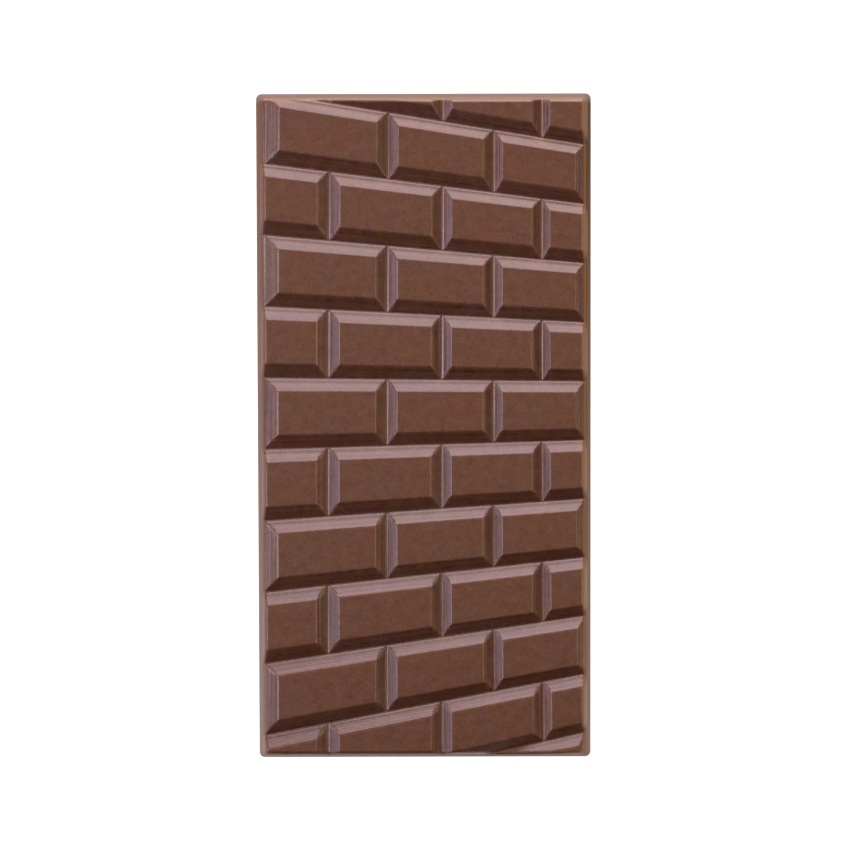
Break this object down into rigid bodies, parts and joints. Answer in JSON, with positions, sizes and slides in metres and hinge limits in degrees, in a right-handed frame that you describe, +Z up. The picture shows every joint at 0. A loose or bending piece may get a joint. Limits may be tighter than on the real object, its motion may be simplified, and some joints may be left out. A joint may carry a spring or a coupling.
{
  "type": "chocolate bar",
  "caption": "Moulded milk chocolate bar, a flat oblong slab whose whole upper side is a brick wall relief in running bond drawn in perspective.",
  "frame": {"origin": "centre of the flat underside", "axes": "+Y along the bar, +X across it towards the end of the wall where the bricks are shortest, +Z up through the relief"},
  "size_m": [0.0782, 0.1556, 0.0072],
  "materials": {
    "milk_chocolate": "satin moulded milk chocolate, slightly hazy"
  },
  "bodies": {
    "root": {"bar": "milk_chocolate"}
  },
  "joints": []
}
